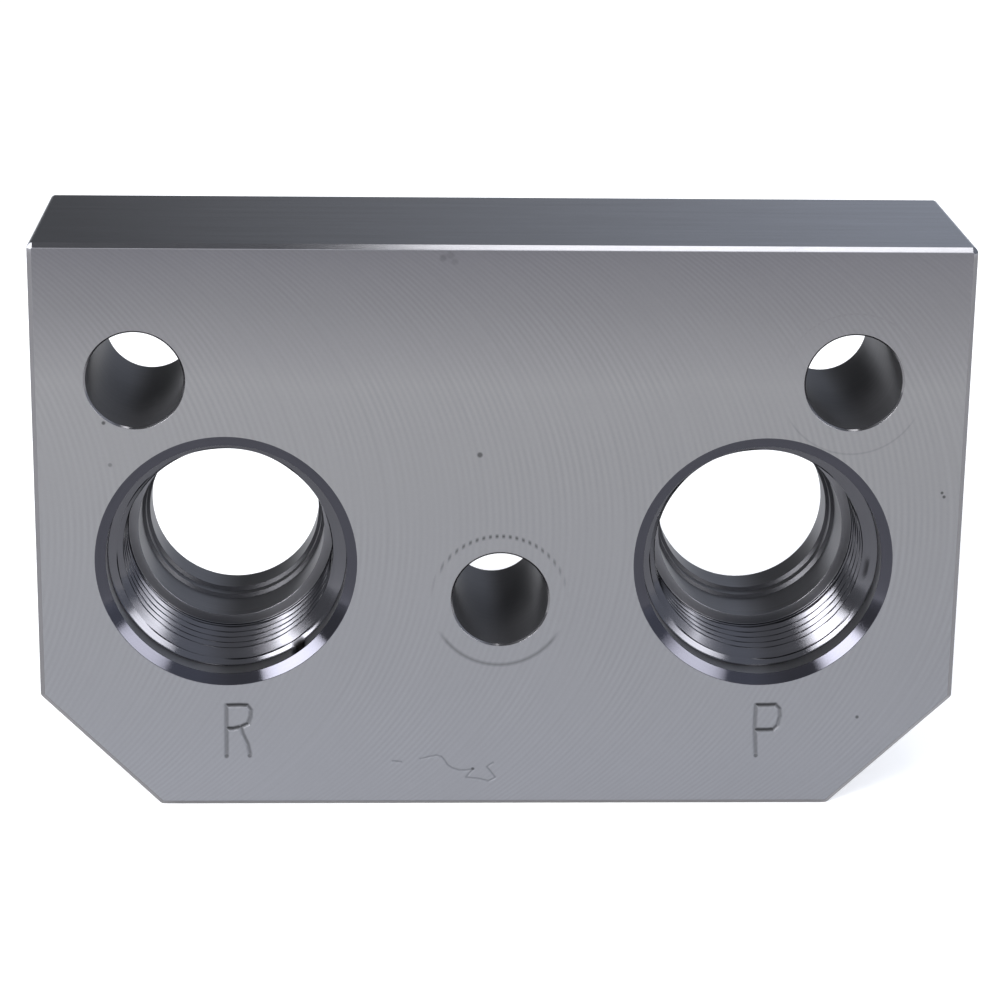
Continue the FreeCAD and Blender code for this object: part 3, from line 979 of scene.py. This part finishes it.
def studio_room(studio):
    """A plain room: dim behind, lighter in front, overhead and low down, cool to the right.

    Each part fades in over a stretch of a direction's x (right), y (back) or z (up).
    """
    world = bpy.data.worlds.new("studio_room")
    world.use_nodes = True
    tree = world.node_tree
    tree.nodes.clear()
    x, y, z = add(tree, "SeparateXYZ", {0: add(tree, "TexCoord").outputs["Generated"]}).outputs
    front = add(tree, "MapRange", {0: y, 1: 0.3, 2: -0.4, 3: 0.0, 4: studio.front_wall})
    below = add(tree, "MapRange", {0: z, 1: 0.8, 2: 0.93, 3: 1.0, 4: 0.0})
    right = add(tree, "MapRange", {0: x, 1: -0.1, 2: 0.17, 3: 0.0, 4: studio.right_wall})
    low = add(tree, "MapRange", {0: z, 1: 0.0, 2: 0.07, 3: studio.horizon, 4: 0.0})
    walls = add(tree, "Math", {0: front, 1: below, 2: low}, operation="MULTIPLY_ADD")
    walls = add(tree, "Math", {0: right, 1: below, 2: walls}, operation="MULTIPLY_ADD")
    overhead = studio.room + studio.ceiling
    ceiling = add(tree, "MapRange", {0: z, 1: 0.45, 2: 0.65, 3: studio.room, 4: overhead})
    level = add(tree, "Math", {0: walls, 1: ceiling}, operation="ADD")
    cooler = add(tree, "VectorMath", {0: (-0.12, -0.03, 0.15), "Scale": right}, operation="SCALE")
    light = add(tree, "VectorMath", {0: (0.96, 0.98, 1.03), 1: cooler}, operation="ADD")
    back = add(tree, "Background", {"Color": light, "Strength": level})
    add(tree, "OutputWorld", {"Surface": back})
    bpy.context.scene.world = world


class PORTBLOCK_OT_add_stage(bpy.types.Operator):
    """Lay the floor, set up the softboxes and the room, and place the camera"""

    bl_idname = "portblock.add_stage"
    bl_label = "Add stage"

    def execute(self, context):
        studio = context.scene.portblock_studio
        reach = 6.0
        mesh = bpy.data.meshes.new("floor")
        corners = [(-reach, -reach, 0), (reach, -reach, 0), (reach, reach, 0), (-reach, reach, 0)]
        mesh.from_pydata(corners, [], [(0, 1, 2, 3)])
        floor = object_from(mesh, "floor")
        mesh.materials.append(pale_floor(studio))
        # Direction, distance, width and height in metres, and brightness
        softbox("left_softbox", towards(-37, 25), 1.3, 0.56, 0.5, studio.left_box)
        softbox("right_softbox", towards(39, 22), 1.3, 0.5, 0.54, studio.right_box)
        softbox("overhead_softbox", (0.14, -0.2, 0.95), 1.2, 0.32, 0.26, studio.top_box)
        softbox("side_softbox", (-0.86, 0.2, 0.47), 1.2, 0.3, 0.3, studio.side_box)
        studio_room(studio)
        self.place_camera(context.scene)
        context.scene.view_settings.view_transform = "Standard"
        return {"FINISHED"}

    def place_camera(self, scene):
        """Place and turn the camera, which was fitted to the block's outline and holes."""
        data = bpy.data.cameras.new("camera")
        data.sensor_width = CAMERA_SENSOR
        data.lens = CAMERA_LENS
        data.clip_start = 0.01
        data.clip_end = 50.0
        camera = bpy.data.objects.new("camera", data)
        yaw, pitch, roll = (math.radians(value) for value in CAMERA_TURNS)
        turn = Matrix.Rotation(-roll, 3, "Y") @ Matrix.Rotation(pitch, 3, "X")
        right, forward, up = turn @ Matrix.Rotation(yaw, 3, "Z")
        axes = Matrix((right, up, -forward)).transposed().to_4x4()
        camera.matrix_world = Matrix.Translation(Vector(CAMERA_PLACE) * MM) @ axes
        scene.collection.objects.link(camera)
        scene.camera = camera


class PORTBLOCK_PT_panel(bpy.types.Panel):
    """Sizes, finishes and studio of the port block"""

    bl_idname = "PORTBLOCK_PT_panel"
    bl_label = "Port Block"
    bl_space_type = "VIEW_3D"
    bl_region_type = "UI"
    bl_category = "Port Block"

    def draw(self, context):
        scene = context.scene
        for operator in OPERATORS:
            self.layout.operator(operator.bl_idname)
        for group in (scene.portblock_sizes, scene.portblock_finish, scene.portblock_studio):
            box = self.layout.box()
            for item in group.bl_rna.properties:
                if item.identifier not in ("rna_type", "name"):
                    box.prop(group, item.identifier)


GROUPS = {
    "portblock_sizes": PORTBLOCK_PG_sizes,
    "portblock_finish": PORTBLOCK_PG_finish,
    "portblock_studio": PORTBLOCK_PG_studio,
}
OPERATORS = (PORTBLOCK_OT_add_block, PORTBLOCK_OT_add_stage)


def register():
    for name, group in GROUPS.items():
        bpy.utils.register_class(group)
        setattr(bpy.types.Scene, name, bpy.props.PointerProperty(type=group))
    for item in (*OPERATORS, PORTBLOCK_PT_panel):
        bpy.utils.register_class(item)


def unregister():
    for item in (PORTBLOCK_PT_panel, *reversed(OPERATORS)):
        bpy.utils.unregister_class(item)
    for name, group in GROUPS.items():
        delattr(bpy.types.Scene, name)
        bpy.utils.unregister_class(group)


def main():
    """Build the scene."""
    register()
    bpy.ops.portblock.add_block()
    bpy.ops.portblock.add_stage()


if __name__ == "__main__":
    main()
